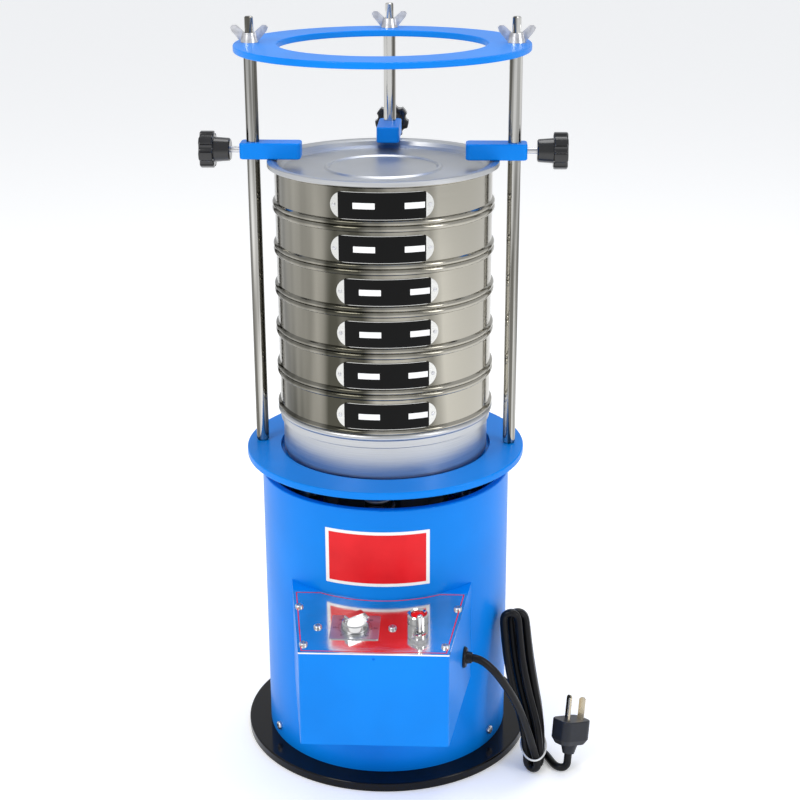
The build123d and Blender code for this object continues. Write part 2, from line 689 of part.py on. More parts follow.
def control_panel():
    long = math.cos(math.radians(PANEL_SLOPE))
    rear_v = (PANEL_REAR_Y + BOX_REACH) / long
    front_x = box_half_width(-BOX_REACH)
    rear_x = box_half_width(PANEL_REAR_Y)
    outline = make_face(Polyline((-front_x, 0), (front_x, 0), (rear_x, rear_v), (-rear_x, rear_v), close=True))
    outline = fillet(outline.vertices(), 1.2)
    plate = panel_place(0, 0, -PANEL_T) * extrude(outline, PANEL_T)
    plate -= rod(SHELL_R + PANEL_SHELL_GAP, BOX_BOTTOM_Z, 2 * PANEL_FRONT_Z)
    holes = [(u, v, PANEL_SCREW_D + 0.4) for u, v in panel_screw_places()]
    holes += [(TIMER_U, TIMER_V, TIMER_SHAFT_D + 2), (LAMP_U, LAMP_V, LAMP_BODY_D + 0.3),
              (SWITCH_U, SWITCH_V, SWITCH_BUSH_D + 0.3)]
    for u, v, d in holes:
        plate -= panel_place(u, v) * rod(d / 2, -PANEL_T - 1, 1)
    return plate


def panel_screw_places():
    half = TIMER_SCREW_SPACING / 2
    return PANEL_CORNER_SCREWS + ((TIMER_U - half, TIMER_V), (TIMER_U + half, TIMER_V))


def panel_screw():
    head = rod(PANEL_SCREW_HEAD_D / 2, 0, PANEL_SCREW_HEAD_T)
    head = fillet(head.edges().sort_by(Axis.Z)[-1:], PANEL_SCREW_HEAD_T * 0.6)
    head += rod(PANEL_SCREW_D / 2, -PANEL_SCREW_L, 0.5)
    slot = Pos(0, 0, PANEL_SCREW_HEAD_T) * Box(PANEL_SCREW_HEAD_D * 0.55, 1.0, 2.0)
    head -= slot
    head -= Rot(0, 0, 90) * slot
    return head


# Mechanical timer: case and fixing ears under the panel, shaft through it
def timer_body():
    top = -PANEL_T
    case = Pos(0, 0, top - TIMER_EAR_T - TIMER_BODY_H / 2) * Box(TIMER_BODY_W, TIMER_BODY_W, TIMER_BODY_H)
    ears = Pos(0, 0, top - TIMER_EAR_T / 2) * Box(TIMER_EAR_W, TIMER_EAR_D, TIMER_EAR_T)
    body = case + ears
    body += rod(TIMER_SHAFT_D / 2, top - 1, TIMER_SHAFT_UP)
    half = TIMER_SCREW_SPACING / 2
    for side in (-half, half):
        body -= rod(PANEL_SCREW_D / 2, top - TIMER_EAR_T - 1, top + 1, side)
    return panel_place(TIMER_U, TIMER_V) * body


def timer_scale_plate():
    sketch = RectangleRounded(SCALE_PLATE_W, SCALE_PLATE_H, 2.0)
    sketch -= Circle(TIMER_SHAFT_D / 2 + 1)
    return panel_place(TIMER_U, TIMER_V) * extrude(sketch, SCALE_PLATE_T)


def timer_knob():
    low = SCALE_PLATE_T + TIMER_KNOB_GAP
    r = TIMER_KNOB_D / 2
    knob = turned(profile((
        (0, low), (r, low), (r, low + 1.5), (r - 1.0, low + TIMER_KNOB_SKIRT - 1), (r - 2.2, low + TIMER_KNOB_SKIRT),
        (0, low + TIMER_KNOB_SKIRT),
    )))
    bar_top = low + TIMER_KNOB_H
    bar = Polyline((-r + 2.4, 0, low + TIMER_KNOB_SKIRT - 0.5), (-r + 3.4, 0, bar_top), (r - 4, 0, bar_top),
                   (r + 0.8, 0, low + TIMER_KNOB_SKIRT - 0.5), close=True)
    grip = Pos(0, TIMER_KNOB_BAR_W / 2, 0) * extrude(make_face(bar), TIMER_KNOB_BAR_W, dir=(0, -1, 0))
    grip = fillet(grip.edges().filter_by(Axis.Y).sort_by(Axis.Z)[-2:], 1.2)
    knob += grip
    knob -= rod(TIMER_SHAFT_D / 2 + SHAFT_CLEARANCE, low - 1, TIMER_SHAFT_UP + 0.3)
    return panel_place(TIMER_U, TIMER_V) * Rot(0, 0, -TIMER_KNOB_TURN) * knob


# Pilot lamp: a tall turned bezel with a seam, and a red lens set into it
def lamp_body():
    r = LAMP_BEZEL_D / 2
    seam = LAMP_SEAM_H
    lens_r = LAMP_LENS_D / 2
    cup_z = LAMP_BEZEL_H - 6
    body = turned(profile((
        (0, -LAMP_BODY_L), (LAMP_BODY_D / 2, -LAMP_BODY_L), (LAMP_BODY_D / 2, 0), (r, 0), (r, seam - 0.5),
        (r - 0.6, seam - 0.5), (r - 0.6, seam + 0.3), (r, seam + 0.3), (r, LAMP_BEZEL_H - 1.2),
        (r - 1.2, LAMP_BEZEL_H), (lens_r, LAMP_BEZEL_H - 1.0), (lens_r, cup_z), (0, cup_z),
    )))
    return panel_place(LAMP_U, LAMP_V) * body


def lamp_lens():
    low = LAMP_BEZEL_H - 6
    high = LAMP_BEZEL_H - LAMP_LENS_SET_IN
    lens = rod(LAMP_LENS_D / 2, low, high)
    lens = fillet(lens.edges().sort_by(Axis.Z)[-1:], 0.8)
    return panel_place(LAMP_U, LAMP_V) * lens


def lamp_nut():
    low = -PANEL_T - LAMP_NUT_T
    nut = hexagon(LAMP_NUT_AF, LAMP_NUT_T, low) - rod(LAMP_BODY_D / 2, low - 1, low + LAMP_NUT_T + 1)
    return panel_place(LAMP_U, LAMP_V) * nut


# Toggle switch: body below, threaded bush through the panel, ball lever
def switch_body():
    top = -PANEL_T
    body = Pos(0, 0, top - SWITCH_BODY_H / 2) * Box(SWITCH_BODY_W, SWITCH_BODY_L, SWITCH_BODY_H)
    body += rod(SWITCH_BUSH_D / 2, top - 1, SWITCH_BUSH_H)
    ball_r = LEVER_BALL_D / 2 + LEVER_SOCKET_GAP
    body -= Pos(0, 0, lever_pivot_z()) * Sphere(ball_r)
    swing = math.tan(math.radians(LEVER_TILT + 3))
    mouth = SWITCH_BUSH_H - lever_pivot_z()
    root = LEVER_ROOT_D / 2 + LEVER_SOCKET_GAP
    body -= Pos(0, 0, lever_pivot_z() + mouth / 2) * Cone(root + 0.6, root + 0.6 + mouth * swing, mouth + 0.02)
    return panel_place(SWITCH_U, SWITCH_V) * body


def lever_pivot_z():
    return SWITCH_BUSH_H - LEVER_BALL_D / 2 - 1.2


def switch_nut():
    nut = hexagon(SWITCH_NUT_AF, SWITCH_NUT_T, 0) - rod(SWITCH_BUSH_D / 2, -1, SWITCH_NUT_T + 1)
    return panel_place(SWITCH_U, SWITCH_V) * Rot(0, 0, 15) * nut


def toggle_lever():
    tip_r = LEVER_TIP_D / 2
    root_r = LEVER_ROOT_D / 2
    stem_top = LEVER_L - tip_r
    lever = turned(
        Polyline((0, 0, 0), (root_r, 0, 0), (root_r, 0, LEVER_L * 0.35), (tip_r, 0, stem_top))
        + ThreePointArc((tip_r, 0, stem_top), (tip_r * math.sqrt(0.5), 0, stem_top + tip_r * math.sqrt(0.5)),
                        (0, 0, LEVER_L))
        + Line((0, 0, LEVER_L), (0, 0, 0))
    )
    lever += Sphere(LEVER_BALL_D / 2)
    return panel_place(SWITCH_U, SWITCH_V, lever_pivot_z()) * Rot(-LEVER_TILT, 0, 0) * lever


# Rubber grommet in the right side wall
def grommet_place():
    x = box_half_width(GROMMET_Y)
    return Plane(origin=(x, GROMMET_Y, GROMMET_Z), z_dir=wall_direction()).location


def cable_grommet():
    nose_z = GROMMET_T + GROMMET_NOSE_L
    cord_r = CORD_D / 2 + CORD_GRIP_GAP
    body = turned(profile((
        (cord_r, -BOX_WALL - 2.5), (GROMMET_NECK_D / 2 + 2, -BOX_WALL - 2.5), (GROMMET_NECK_D / 2 + 2, -BOX_WALL),
        (GROMMET_NECK_D / 2, -BOX_WALL), (GROMMET_NECK_D / 2, 0), (GROMMET_D / 2, 0), (GROMMET_D / 2, 1.4),
        (GROMMET_D / 2 - 1.2, GROMMET_T), (GROMMET_NOSE_D / 2, GROMMET_T), (cord_r + 1.2, nose_z), (cord_r, nose_z),
    )))
    return grommet_place() * body


def cord_tube(points):
    """Straight runs joined by arcs as large as their two runs allow."""
    places = [Vector(*p) for p in points]
    runs = [b - a for a, b in zip(places, places[1:])]
    radii = []
    for before, after in zip(runs, runs[1:]):
        half_turn = math.radians(before.get_angle(after)) / 2
        radii.append(0.45 * min(before.length, after.length) / math.tan(half_turn))
    path = FilletPolyline(*places, radius=radii)
    tube = sweep(Plane(origin=path @ 0, z_dir=path % 0) * Circle(CORD_D / 2), path)
    share = tube.volume / (math.pi * CORD_D ** 2 / 4 * path.length)
    print("cord length", round(path.length, 1), "volume share", round(share, 4),
          "radii", [round(radius, 1) for radius in radii])
    return tube


def cord_lead():
    nose_z = GROMMET_T + GROMMET_NOSE_L
    run_out = [tuple((grommet_place() * Pos(0, 0, z)).position) for z in (nose_z, nose_z + CORD_EXIT_L)]
    inside = grommet_place() * rod(CORD_D / 2, -BOX_WALL - 5, nose_z)
    return cord_tube(run_out + list(CORD_LEAD_POINTS)) + inside - cord_hank()


def cord_hank():
    levels = [Pos(x, y, z) * Ellipse(half_x, half_y) for z, x, y, half_x, half_y in HANK_LEVELS]
    return loft(levels, ruled=True)


def cord_tail():
    low = -PLUG_H - PLUG_RELIEF_L
    run_in = [tuple((plug_place() * Pos(0, 0, z)).position) for z in (low - PLUG_EXIT_L, low)]
    return cord_tube(list(CORD_TAIL_POINTS) + run_in) - cord_hank()


def cord_tie():
    x, y = TIE_MIDDLE
    band = Pos(x, y, TIE_Z) * extrude(Ellipse(TIE_HALF_X, TIE_HALF_Y), TIE_H)
    return band - cord_hank()


# Moulded three-pin plug, standing on its cord with the pins up
def plug_place():
    x, y, z = PLUG_FACE
    return Pos(x, y, z) * Rot(0, PLUG_LEAN, 0) * Rot(-PLUG_TILT, 0, 0) * Rot(0, 0, PLUG_TURN)


def plug_body():
    face = RectangleRounded(PLUG_W, PLUG_D, PLUG_CORNER_R)
    back = RectangleRounded(PLUG_W - 2 * PLUG_TAPER, PLUG_D - 2 * PLUG_TAPER, PLUG_CORNER_R)
    body = loft([Pos(0, 0, -PLUG_H) * back, Pos(0, 0, -PLUG_H + 2 * PLUG_TAPER) * face, face], ruled=True)
    body = fillet(body.edges().group_by(Axis.Z)[-1], PLUG_EDGE_R)
    relief = turned(profile((
        (0, -PLUG_H - PLUG_RELIEF_L), (PLUG_RELIEF_END_D / 2, -PLUG_H - PLUG_RELIEF_L),
        (PLUG_RELIEF_D / 2, -PLUG_H), (0, -PLUG_H),
    )))
    return plug_place() * (body + relief)


def plug_pins():
    blade = Pos(0, 0, PIN_L / 2) * Box(PIN_W, PIN_T, PIN_L)
    blade = chamfer(blade.edges().filter_by(Axis.Y).sort_by(Axis.Z)[-2:], 1.8)
    live = Pos(-PIN_SPREAD, -PIN_DROP, 0) * Rot(0, 0, 90 - PIN_TILT) * blade
    neutral = Pos(PIN_SPREAD, -PIN_DROP, 0) * Rot(0, 0, 90 + PIN_TILT) * blade
    earth = Pos(0, EARTH_RISE, 0) * Rot(0, 0, 90) * blade
    return [plug_place() * pin for pin in (live, neutral, earth)]


# Motor: flanged skirt with windows over a ribbed stator housing
def bolt_angles():
    return [i * 360 / MOTOR_BOLT_COUNT for i in range(MOTOR_BOLT_COUNT)]


def motor_frame():
    r = MOTOR_D / 2
    skirt_inner = r - MOTOR_SKIRT_WALL
    flange_z = MOTOR_TOP_Z - MOTOR_FLANGE_T
    frame = ring(MOTOR_FLANGE_D / 2, skirt_inner, flange_z, MOTOR_TOP_Z)
    frame += ring(r, skirt_inner, MOTOR_BODY_TOP_Z - 1, flange_z + 1)
    frame += ring(r, MOTOR_BORE_D / 2, MOTOR_BODY_BOTTOM_Z, MOTOR_BODY_TOP_Z)
    window_z = (MOTOR_BODY_TOP_Z + SHIELD_T + flange_z) / 2
    window = Pos(r, 0, window_z) * Box(MOTOR_SKIRT_WALL * 6, MOTOR_WINDOW_W, MOTOR_WINDOW_H)
    step = 360 / MOTOR_WINDOWS
    for cut in around(window, [step * (i + 0.5) for i in range(MOTOR_WINDOWS)]):
        frame -= cut
    rib = Pos(r + MOTOR_RIB_H / 2 - 1, 0, (MOTOR_BODY_TOP_Z + MOTOR_BODY_BOTTOM_Z) / 2) * Box(
        MOTOR_RIB_H + 2, MOTOR_RIB_W, MOTOR_BODY_L * 0.8)
    for item in around(rib, [i * 360 / MOTOR_RIBS for i in range(MOTOR_RIBS)]):
        frame += item
    hole = rod(MOTOR_BOLT_D / 2 + 0.2, flange_z - 1, MOTOR_TOP_Z + 1, MOTOR_BOLT_PITCH_R)
    for cut in around(hole, bolt_angles()):
        frame -= cut
    return frame


def end_shields():
    """One shield above and one below, each with a bearing pocket."""
    outer = MOTOR_D / 2 - MOTOR_SKIRT_WALL
    shields = []
    for face_z, way in ((MOTOR_BODY_TOP_Z, 1), (MOTOR_BODY_BOTTOM_Z, -1)):
        low, high = sorted((face_z, face_z + way * SHIELD_T))
        pocket = sorted((face_z - way, face_z + way * BEARING_W))
        shield = rod(outer, low, high) - rod(SHIELD_HOLE_D / 2, low - 1, high + 1)
        shields.append(shield - rod(BEARING_OD / 2, *pocket))
    return shields


def motor_bearings():
    bearings = []
    for face_z, way in ((MOTOR_BODY_TOP_Z, 1), (MOTOR_BODY_BOTTOM_Z, -1)):
        low, high = sorted((face_z, face_z + way * BEARING_W))
        bearings.append(ring(BEARING_OD / 2, SHAFT_D / 2 + SHAFT_CLEARANCE, low, high))
    return bearings


def motor_bolt():
    flange_z = MOTOR_TOP_Z - MOTOR_FLANGE_T
    bolt = hexagon(MOTOR_BOLT_HEAD_D, MOTOR_BOLT_HEAD_T, flange_z - MOTOR_BOLT_HEAD_T)
    bolt += rod(MOTOR_BOLT_D / 2, flange_z - 1, MOTOR_TOP_Z + MOTOR_BOLT_IN_TABLE - 0.3)
    return Pos(MOTOR_BOLT_PITCH_R, 0, 0) * bolt


# Rotor: a plain shaft with a half-disc weight clamped on each end
def motor_shaft():
    low = MOTOR_BODY_BOTTOM_Z - SHAFT_DOWN
    high = MOTOR_BODY_TOP_Z + SHAFT_UP
    shaft = rod(SHAFT_D / 2, low, high)
    shaft = chamfer(shaft.edges().filter_by(GeomType.CIRCLE), 1.0)
    rotor_r = MOTOR_BORE_D / 2 - 1.0
    return shaft + rod(rotor_r, MOTOR_BODY_BOTTOM_Z + 8, MOTOR_BODY_TOP_Z - 8)


def weight(z_low):
    disc = rod(WEIGHT_R, z_low, z_low + WEIGHT_T)
    half = disc - Pos(0, WEIGHT_R, z_low + WEIGHT_T / 2) * Box(WEIGHT_R * 3, WEIGHT_R * 2, WEIGHT_T + 2)
    body = half + rod(WEIGHT_HUB_D / 2, z_low, z_low + WEIGHT_T)
    body -= rod(SHAFT_D / 2, z_low - 1, z_low + WEIGHT_T + 1)
    screw_hole = rod(WEIGHT_SCREW_D / 2, SHAFT_D / 2, WEIGHT_HUB_D)
    body -= Pos(0, 0, z_low + WEIGHT_T / 2) * Rot(-90, 0, 0) * screw_hole
    return body


def upper_weight_z():
    return MOTOR_BODY_TOP_Z + SHIELD_T + WEIGHT_GAP


def lower_weight_z():
    return MOTOR_BODY_BOTTOM_Z - SHIELD_T - WEIGHT_GAP - WEIGHT_T


def weight_screws():
    screw = rod(WEIGHT_SCREW_D / 2, SHAFT_D / 2, WEIGHT_HUB_D / 2 - 0.5)
    return [Pos(0, 0, z + WEIGHT_T / 2) * Rot(-90, 0, 0) * screw for z in (upper_weight_z(), lower_weight_z())]


save("base_plate", base_plate())
save("housing_shell", housing_shell())
save("housing_screws", *around(housing_screw(), SCREW_ANGLES))
save("spring_posts", *around(spring_post(), SPRING_ANGLES))
save("support_springs", *around(support_spring(), SPRING_ANGLES))
save("shaker_table", shaker_table())
for side, angle in ROD_ANGLES.items():
    save(f"rod_{side}", *around(guide_rod(), [angle]))
    save(f"clamp_arm_{side}", *around(clamp_arm(), [angle]))
    save(f"clamp_screw_{side}", *around(clamp_screw(), [angle]))
    save(f"clamp_knob_{side}", *around(clamp_knob(), [angle]))
    turn = math.radians(angle)
    save(f"wing_nut_{side}", Pos(ROD_PITCH_R * math.cos(turn), ROD_PITCH_R * math.sin(turn), 0) * wing_nut())
save("rod_nuts", *around(rod_nut(), ROD_ANGLES.values()))
save("top_ring", top_ring())
save("receiver_pan", receiver_pan())
meshes = []
plates = []
for number in range(1, SIEVE_COUNT + 1):
    seat_z = PAN_TOP_Z + (SIEVE_COUNT - number) * SIEVE_PITCH
    save(f"sieve_frame_{number}", sieve_frame(seat_z))
    meshes.append(sieve_mesh(seat_z))
    plates.append(nameplate(seat_z, PLATE_TURNS[(number - 1) % len(PLATE_TURNS)]))
save("sieve_meshes", *meshes)
save("sieve_nameplates", *plates)
save("sieve_lid", sieve_lid())
save("control_box", control_box())
save("control_panel", control_panel())
save("panel_screws", *[panel_place(u, v) * panel_screw() for u, v in panel_screw_places()])
save("timer_body", timer_body())
save("timer_scale_plate", timer_scale_plate())
save("timer_knob", timer_knob())
save("lamp_body", lamp_body())
save("lamp_lens", lamp_lens())
save("switch_body", switch_body())
save("toggle_lever", toggle_lever())
save("panel_nuts", lamp_nut(), switch_nut())
save("cable_grommet", cable_grommet())
save("cord_lead", cord_lead())
save("cord_hank", cord_hank())
save("cord_tail", cord_tail())
save("cord_tie", cord_tie())
save("plug_body", plug_body())
save("plug_pins", *plug_pins())
save("motor_frame", motor_frame())
save("motor_end_shields", *end_shields())
save("motor_bearings", *motor_bearings())
save("motor_bolts", *around(motor_bolt(), bolt_angles()))
save("motor_shaft", motor_shaft())
save("upper_weight", weight(upper_weight_z()))
save("lower_weight", weight(lower_weight_z()))
save("weight_screws", *weight_screws())
print("levels", round(ARM_Z, 3), round(TOP_RING_Z - ARM_Z - ARM_H, 3), "files", len(os.listdir("parts")))
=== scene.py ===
import math

import bpy
from mathutils import Matrix, Vector


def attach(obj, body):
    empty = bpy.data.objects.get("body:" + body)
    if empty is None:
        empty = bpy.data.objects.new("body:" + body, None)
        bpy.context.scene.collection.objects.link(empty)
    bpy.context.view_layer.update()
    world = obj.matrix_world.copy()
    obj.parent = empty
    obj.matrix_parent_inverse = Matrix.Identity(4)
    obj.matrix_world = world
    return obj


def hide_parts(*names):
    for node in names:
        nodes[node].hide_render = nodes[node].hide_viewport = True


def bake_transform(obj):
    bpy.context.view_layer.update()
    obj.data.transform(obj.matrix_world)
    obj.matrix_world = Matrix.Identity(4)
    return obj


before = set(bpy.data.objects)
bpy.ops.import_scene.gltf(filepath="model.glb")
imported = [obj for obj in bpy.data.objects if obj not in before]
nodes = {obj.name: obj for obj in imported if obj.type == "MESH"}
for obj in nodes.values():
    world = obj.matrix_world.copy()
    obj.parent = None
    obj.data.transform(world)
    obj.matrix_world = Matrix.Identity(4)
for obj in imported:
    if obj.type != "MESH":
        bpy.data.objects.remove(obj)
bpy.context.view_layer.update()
bpy.ops.object.select_all(action="DESELECT")


# Base plate: a round steel plate that carries the drum. It is turned, then dipped in black stove enamel,
# which dries glossy with slow waves in its sheen. The drum is screwed to it.
def new_material(name, color, roughness, metallic=0.0, coat=0.0, specular=0.5):
    material = bpy.data.materials.new(name)
    material.use_nodes = True
    shader = material.node_tree.nodes["Principled BSDF"]
    shader.inputs["Base Color"].default_value = (*color, 1.0)
    shader.inputs["Roughness"].default_value = roughness
    shader.inputs["Metallic"].default_value = metallic
    shader.inputs["Coat Weight"].default_value = coat
    shader.inputs["Coat Roughness"].default_value = 0.04
    shader.inputs["Specular IOR Level"].default_value = specular
    return material


def add_noise(material, scale, stretch=(1.0, 1.0, 1.0), detail=3.0):
    tree = material.node_tree
    place = tree.nodes.new("ShaderNodeTexCoord")
    mapping = tree.nodes.new("ShaderNodeMapping")
    mapping.inputs["Scale"].default_value = stretch
    noise = tree.nodes.new("ShaderNodeTexNoise")
    noise.inputs["Scale"].default_value = scale
    noise.inputs["Detail"].default_value = detail
    tree.links.new(place.outputs["Object"], mapping.inputs["Vector"])
    tree.links.new(mapping.outputs["Vector"], noise.inputs["Vector"])
    return noise


def vary_roughness(material, noise, low, high):
    tree = material.node_tree
    span = tree.nodes.new("ShaderNodeMapRange")
    span.inputs["From Min"].default_value = 0.3
    span.inputs["From Max"].default_value = 0.7
    span.inputs["To Min"].default_value = low
    span.inputs["To Max"].default_value = high
    tree.links.new(noise.outputs["Fac"], span.inputs["Value"])
    tree.links.new(span.outputs["Result"], tree.nodes["Principled BSDF"].inputs["Roughness"])


def finish_nodes(material, *names):
    for name in names:
        nodes[name].data.materials.clear()
        nodes[name].data.materials.append(material)


enamel = new_material("black_gloss", (0.004, 0.004, 0.005), 0.12, coat=0.08, specular=0.16)
vary_roughness(enamel, add_noise(enamel, 30.0), 0.08, 0.2)
finish_nodes(enamel, "base_plate")


# Drum housing: a rolled steel drum with a lip turned inward round its open top, sprayed a glossy blue. The
# same paint is on the table, the top ring, the control box and the clamp arms. It has a faint orange-peel
# skin.
def vary_color(material, noise, dark, light, low=0.35, high=0.65):
    tree = material.node_tree
    ramp = tree.nodes.new("ShaderNodeValToRGB")
    ramp.color_ramp.elements[0].position = low
    ramp.color_ramp.elements[0].color = (*dark, 1.0)
    ramp.color_ramp.elements[1].position = high
    ramp.color_ramp.elements[1].color = (*light, 1.0)
    tree.links.new(noise.outputs["Fac"], ramp.inputs["Fac"])
    tree.links.new(ramp.outputs["Color"], tree.nodes["Principled BSDF"].inputs["Base Color"])


def add_bump(material, noise, strength, distance):
    tree = material.node_tree
    bump = tree.nodes.new("ShaderNodeBump")
    bump.inputs["Strength"].default_value = strength
    bump.inputs["Distance"].default_value = distance
    tree.links.new(noise.outputs["Fac"], bump.inputs["Height"])
    tree.links.new(bump.outputs["Normal"], tree.nodes["Principled BSDF"].inputs["Normal"])


blue = new_material("blue_paint", (0.0, 0.21, 0.75), 0.36, coat=0.05, specular=0.12)
add_bump(blue, add_noise(blue, 260.0), 0.06, 0.0004)
vary_color(blue, add_noise(blue, 9.0), (0.0, 0.196, 0.71), (0.0, 0.226, 0.8))
finish_nodes(blue, "housing_shell", "shaker_table", "top_ring", "control_box", "clamp_arm_left",
             "clamp_arm_right", "clamp_arm_rear")

# Screws, nuts, bolts and spring posts: turned steel with a thin zinc plating, dulled to a mottled grain.
# They hold the drum, the panel, the rods and the motor.
zinc = new_material("zinc_plate", (0.62, 0.62, 0.64), 0.3, metallic=1.0)
vary_color(zinc, add_noise(zinc, 240.0), (0.5, 0.5, 0.52), (0.74, 0.74, 0.76))
finish_nodes(zinc, "housing_screws", "panel_screws", "rod_nuts", "motor_bolts", "weight_screws",
             "spring_posts", "panel_nuts", "wing_nut_left", "wing_nut_right", "wing_nut_rear")

# Label on the drum: a sheet of printed film with a white edge and a red field, stuck round the front of the
# drum. Its field is left bare.
MM = 0.001
SHELL_R = 120.0
LABEL_Z = 234.0
LABEL_TURN = -1.0
EDGE_SLACK = 0.01


def only_vertices(shape, chosen):
    """Goes into edit mode with just the chosen vertices selected."""
    bpy.ops.object.mode_set(mode="EDIT")
    bpy.ops.mesh.select_mode(type="VERT")
    bpy.ops.mesh.select_all(action="DESELECT")
    bpy.ops.object.mode_set(mode="OBJECT")
    for vertex in shape.data.vertices:
        vertex.select = chosen(vertex.co)
    bpy.ops.object.mode_set(mode="EDIT")


def fix_place(shape):
    """Moves a piece's place and turn into its mesh."""
    bpy.ops.object.select_all(action="DESELECT")
    shape.select_set(True)
    bpy.context.view_layer.objects.active = shape
    bpy.ops.object.transform_apply()


def fit(shape, material, body):
    shape.data.materials.clear()
    shape.data.materials.append(material)
    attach(shape, body)


def bent_sheet(name, width, height, corner, radius, columns):
    """A sheet with round corners, bent round the upright axis at a radius, with its middle to the front."""
    bpy.ops.mesh.primitive_grid_add(x_subdivisions=columns, y_subdivisions=1, size=1.0)
    sheet = bpy.context.object
    sheet.name = name
    sheet.scale = (width * MM, height * MM, 1.0)
    sheet.rotation_euler = (math.pi / 2, 0, 0)
    fix_place(sheet)
    ends = (width / 2 - EDGE_SLACK) * MM
    only_vertices(sheet, lambda co: abs(co.x) > ends)
    bpy.ops.mesh.bevel(affect="VERTICES", offset=corner * MM, segments=4)
    bpy.ops.object.mode_set(mode="OBJECT")
    bend = sheet.modifiers.new("bend", "SIMPLE_DEFORM")
    bend.deform_method = "BEND"
    bend.deform_axis = "Z"
    bend.angle = width / radius
    bpy.ops.object.modifier_apply(modifier="bend")
    bpy.ops.object.shade_smooth()
    return sheet


def stick_on_round(shape, radius, turn, mid_z):
    """Stands a piece on a round wall, turned from the front."""
    angle = math.radians(turn)
    shape.location = (radius * MM * math.sin(angle), -radius * MM * math.cos(angle), mid_z * MM)
    shape.rotation_euler = (0, 0, angle)
    fix_place(shape)


label_white = new_material("label_white", (0.86, 0.86, 0.86), 0.32)
vary_roughness(label_white, add_noise(label_white, 60.0), 0.26, 0.4)
label_red = new_material("label_red", (0.72, 0.01, 0.018), 0.3, coat=0.04, specular=0.2)
vary_color(label_red, add_noise(label_red, 25.0), (0.68, 0.008, 0.014), (0.78, 0.013, 0.02))
LABELS = (
    ("drum_label_edge", 99.6, 55.0, 0.6, 0.15, label_white, "white_plastic"),
    ("drum_label", 92.6, 48.8, 0.4, 0.3, label_red, "red_lens"),
)
for name, width, height, corner, lift, material, slot in LABELS:
    label = bent_sheet(name, width, height, corner, SHELL_R + lift, 60)
    stick_on_round(label, SHELL_R + lift, LABEL_TURN, LABEL_Z)
    fit(label, material, "housing")

# Springs under the table: wound from oiled spring wire and centred by a spigot on each post and one under
# the table.
SAME_POINT = 0.001

oiled = new_material("oiled_spring", (0.12, 0.12, 0.13), 0.32, metallic=0.8)
vary_roughness(oiled, add_noise(oiled, 200.0), 0.25, 0.45)
springs = bpy.data.objects.new("table_springs", nodes["support_springs"].data.copy())
bpy.context.scene.collection.objects.link(springs)
bpy.context.view_layer.objects.active = springs
only_vertices(springs, lambda co: True)
bpy.ops.mesh.remove_doubles(threshold=SAME_POINT * MM)
bpy.ops.object.mode_set(mode="OBJECT")
springs.data.materials.clear()
springs.data.materials.append(oiled)
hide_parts("support_springs")
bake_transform(springs)

# Motor under the table: a ribbed iron frame with two end shields and two offset weights, all cast and
# painted dark. It is bolted to the table from below and shakes it.
casting = new_material("casting", (0.06, 0.065, 0.07), 0.5, metallic=0.3)
add_bump(casting, add_noise(casting, 300.0), 0.3, 0.0004)
finish_nodes(casting, "motor_frame", "motor_end_shields", "upper_weight", "lower_weight")

# Clamp screws, motor shaft and bearings: drawn steel bar and bearing steel, ground bright, which shows as
# fine marks along the bar.
bar = new_material("drawn_bar", (0.6, 0.6, 0.61), 0.28, metallic=1.0)
vary_roughness(bar, add_noise(bar, 120.0, (0.4, 0.4, 8.0)), 0.2, 0.4)
finish_nodes(bar, "clamp_screw_left", "clamp_screw_right", "clamp_screw_rear", "motor_shaft",
             "motor_bearings")

# Guide rods: ground steel rods with hard chrome, which stand on the table and carry the top ring. Long
# dark and bright streaks of painted reflection of the room are painted into their colour.
rod_chrome = new_material("rod_chrome", (0.4, 0.39, 0.37), 0.1, metallic=1.0)
painted_reflection_streaks = add_noise(rod_chrome, 170.0, (1.0, 1.0, 0.015), 2.0)
# painted reflection: long streaks that run from dark to bright in the base colour
vary_color(rod_chrome, painted_reflection_streaks, (0.12, 0.115, 0.1), (0.68, 0.67, 0.64), 0.4, 0.6)
finish_nodes(rod_chrome, "rod_left", "rod_right", "rod_rear")

# Pan, lid and timer scale: the pan and the lid are spun from aluminium sheet and the scale is cut from it.
# All have fine turning marks and a satin face.
aluminium = new_material("satin_aluminium", (0.5, 0.51, 0.52), 0.32, metallic=1.0)
turning = add_noise(aluminium, 160.0, (0.12, 0.12, 9.0), 4.0)
vary_roughness(aluminium, turning, 0.32, 0.42)
vary_color(aluminium, turning, (0.48, 0.49, 0.5), (0.55, 0.56, 0.57))
finish_nodes(aluminium, "receiver_pan", "sieve_lid", "timer_scale_plate")

# Sieve frames: spun from polished steel sheet with rolled beads. Polishing leaves fine marks round the
# frame. Broad upright bands of painted reflection, dark and light, are painted into the colour, and the
# same bands ripple the wall a little.
mirror = new_material("mirror_steel", (0.36, 0.34, 0.29), 0.12, metallic=1.0)
vary_roughness(mirror, add_noise(mirror, 60.0, (0.4, 0.4, 14.0), 5.0), 0.08, 0.2)
painted_reflection_bands = add_noise(mirror, 17.0, (1.0, 1.0, 0.06), 3.0)
# painted reflection: broad upright bands that run from dark to light in the base colour
vary_color(mirror, painted_reflection_bands, (0.06, 0.058, 0.045), (0.42, 0.4, 0.345), 0.38, 0.62)
add_bump(mirror, painted_reflection_bands, 0.12, 0.002)
finish_nodes(mirror, *[f"sieve_frame_{number}" for number in range(1, 7)])

# Sieve cloth: steel wire woven plain, cut round and soldered into the foot of each frame. It is seen only
# when a sieve is lifted off.
cloth = new_material("wire_cloth", (0.4, 0.39, 0.35), 0.4, metallic=0.9)
add_bump(cloth, add_noise(cloth, 900.0, detail=0.0), 0.5, 0.0003)
finish_nodes(cloth, "sieve_meshes")

